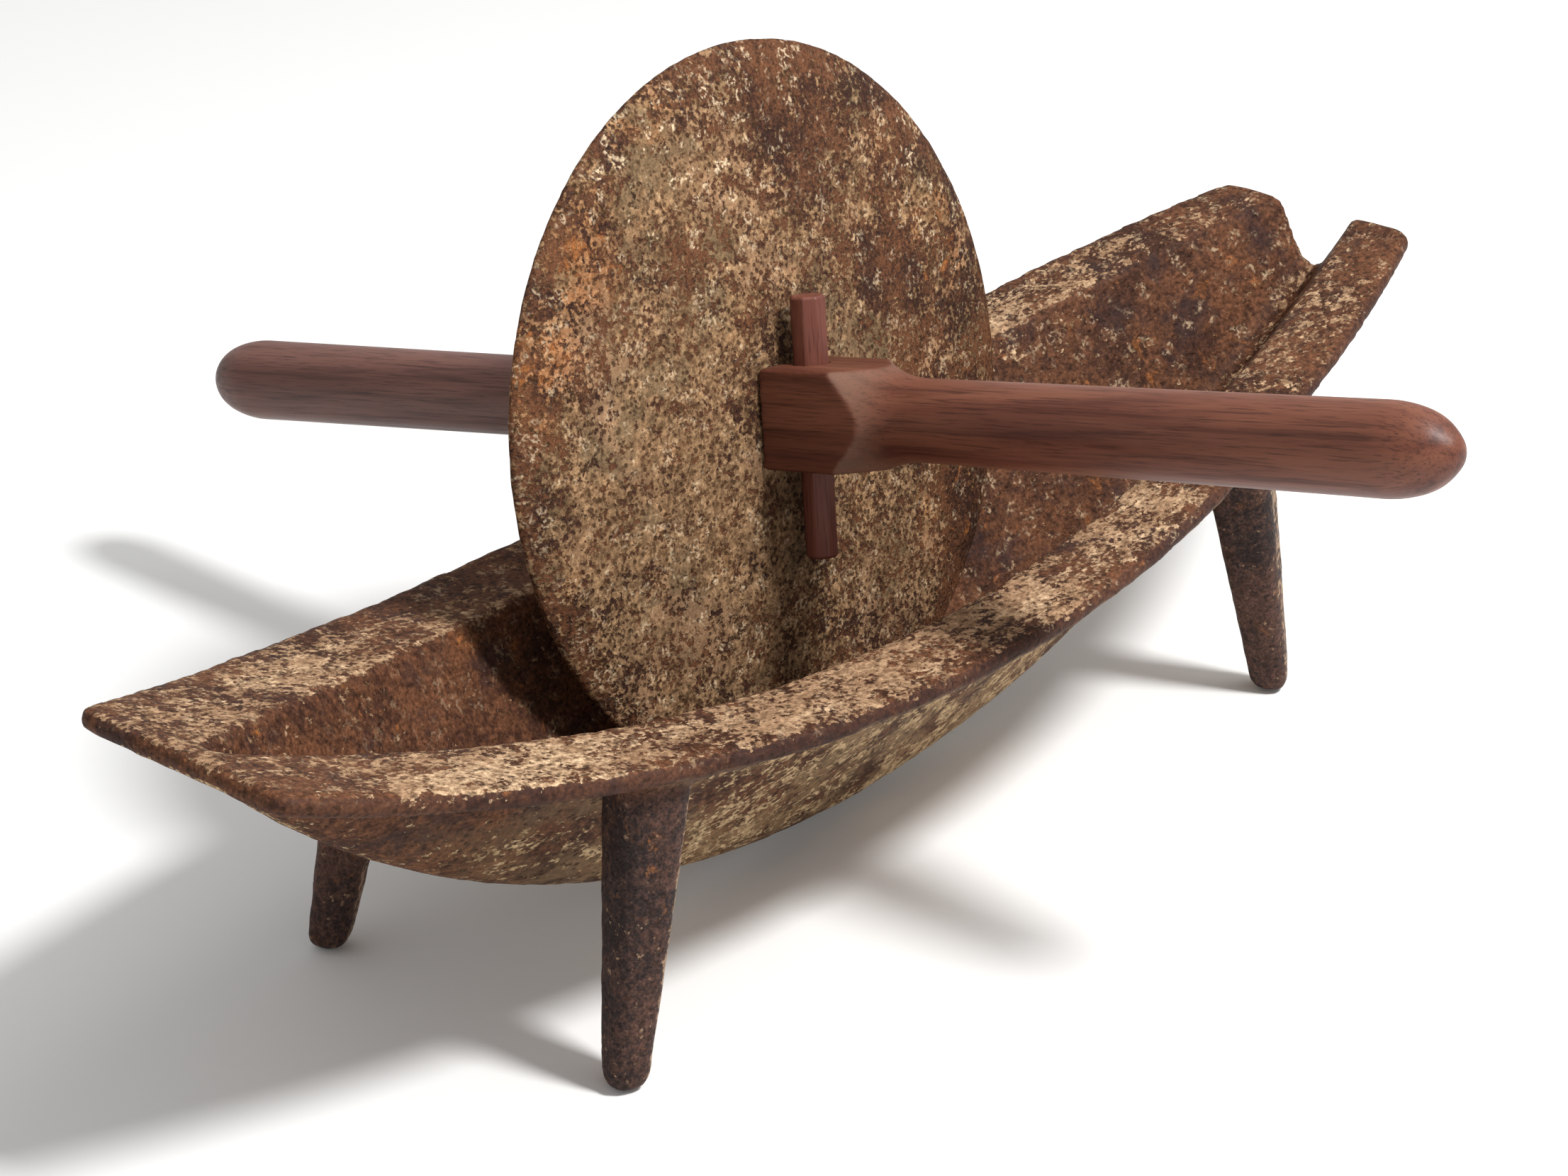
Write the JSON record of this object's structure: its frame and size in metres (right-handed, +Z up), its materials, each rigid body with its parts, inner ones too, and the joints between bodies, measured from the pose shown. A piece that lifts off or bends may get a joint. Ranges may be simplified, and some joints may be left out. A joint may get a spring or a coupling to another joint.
{
  "type": "rolling-wheel herb mill",
  "caption": "Boat-shaped cast-iron V-groove trough on short splayed legs, with a thin iron grinding wheel on a wooden two-handed axle handle locked by a tapered peg.",
  "frame": {"origin": "on the floor, midway between the four feet", "axes": "+Z up; +X along the trough towards its open pouring notch; -Y towards the pegged half of the handle"},
  "size_m": [0.623, 0.5612, 0.2798],
  "materials": {
    "trough_iron": "rough cast iron with brown rust and pale dried residue",
    "leg_iron": "rough dark cast iron with pale flecks",
    "wheel_iron": "matt rusted iron under a mottled buff residue",
    "far_handle_wood": "satin dark walnut",
    "near_handle_wood": "satin walnut, grain along the grip",
    "peg_wood": "satin reddish hardwood"
  },
  "bodies": {
    "trough_casting": {"trough": "trough_iron", "leg_closed_end_near": "leg_iron", "leg_closed_end_far": "leg_iron", "leg_open_end_near": "leg_iron", "leg_open_end_far": "leg_iron"},
    "roller_handle": {"far_handle": "far_handle_wood", "near_handle": "near_handle_wood"},
    "wheel": {"grinding_wheel": "wheel_iron"},
    "peg": {"locking_peg": "peg_wood"}
  },
  "joints": [
    {"name": "wheel_travel", "type": "hinge", "parent": "trough_casting", "child": "roller_handle", "pos_m": [0, 0, 0.4829], "axis": [0, 1, 0], "range_deg": [-18, 18]},
    {"name": "wheel_spin", "type": "hinge", "parent": "roller_handle", "child": "wheel", "pos_m": [0, 0.03035, 0.15082], "axis": [-0.0188, 0.9765, -0.2147], "range_deg": [-64, 64]},
    {"name": "peg_pull", "type": "slide", "parent": "roller_handle", "child": "peg", "axis": [0.1541, 0.215, 0.9644], "range_m": [0, 0.071]}
  ],
  "couplings": [
    {"joint": "wheel_spin", "follows": "wheel_travel", "ratio": -3.5}
  ]
}
